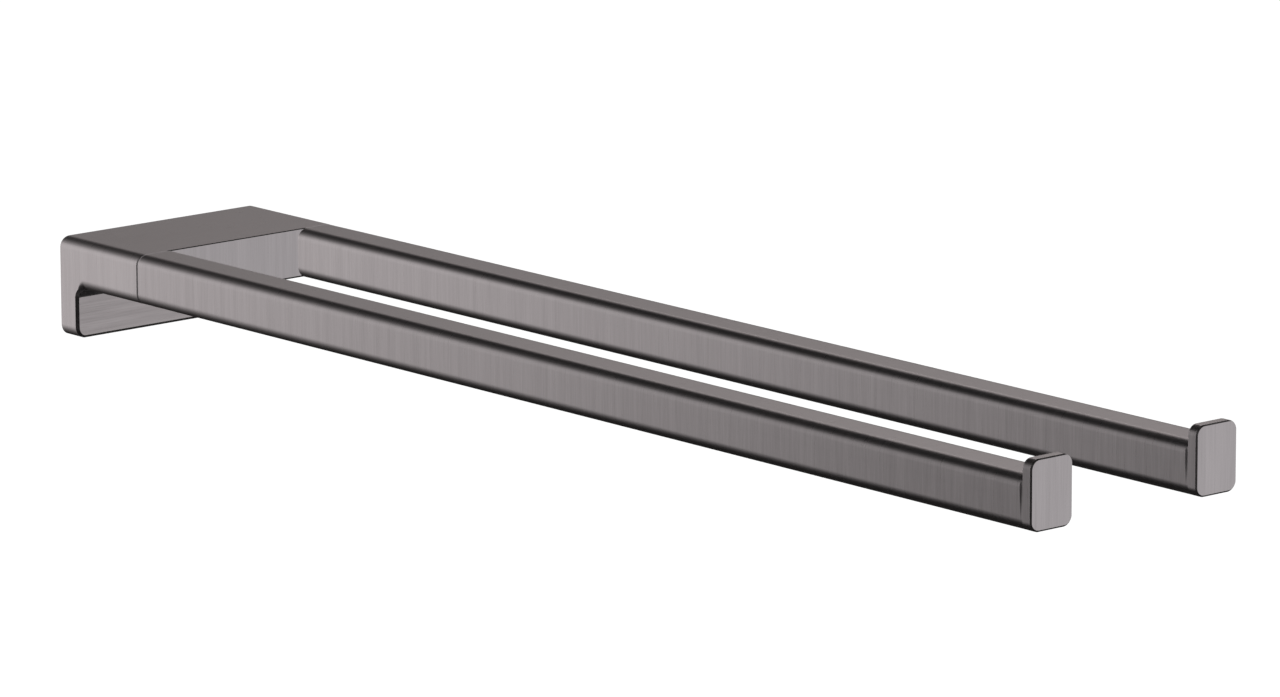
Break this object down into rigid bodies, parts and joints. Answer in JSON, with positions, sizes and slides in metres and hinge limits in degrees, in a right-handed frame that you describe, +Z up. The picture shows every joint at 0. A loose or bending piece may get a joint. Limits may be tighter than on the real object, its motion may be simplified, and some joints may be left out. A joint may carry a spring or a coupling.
{
  "type": "double towel bar",
  "caption": "Wall-mounted towel bar: an L-shaped holder with square arms standing straight out, raised end caps and a hidden hook-on mounting plate.",
  "frame": {"origin": "centre of the wall plate's back face, which lies on the wall", "axes": "+X to the right along the wall for someone facing it, +Y into the wall, +Z up; the arms run along -Y into the room"},
  "size_m": [0.079, 0.445, 0.0365],
  "materials": {
    "brushed_dark_chrome": "dark warm grey chrome, finely brushed across the arms",
    "plain_zinc": "plain grey zinc casting",
    "screw_steel": "bright stainless steel"
  },
  "bodies": {
    "root": {"wall_bracket": "brushed_dark_chrome", "mounting_plate": "plain_zinc", "left_lock_screw": "screw_steel", "right_lock_screw": "screw_steel", "left_arm": "brushed_dark_chrome", "right_arm": "brushed_dark_chrome", "left_arm_anchor": "screw_steel", "right_arm_anchor": "screw_steel", "left_arm_screw": "screw_steel", "right_arm_screw": "screw_steel", "left_arm_washer": "screw_steel", "right_arm_washer": "screw_steel", "left_end_cap": "brushed_dark_chrome", "right_end_cap": "brushed_dark_chrome"}
  },
  "joints": []
}
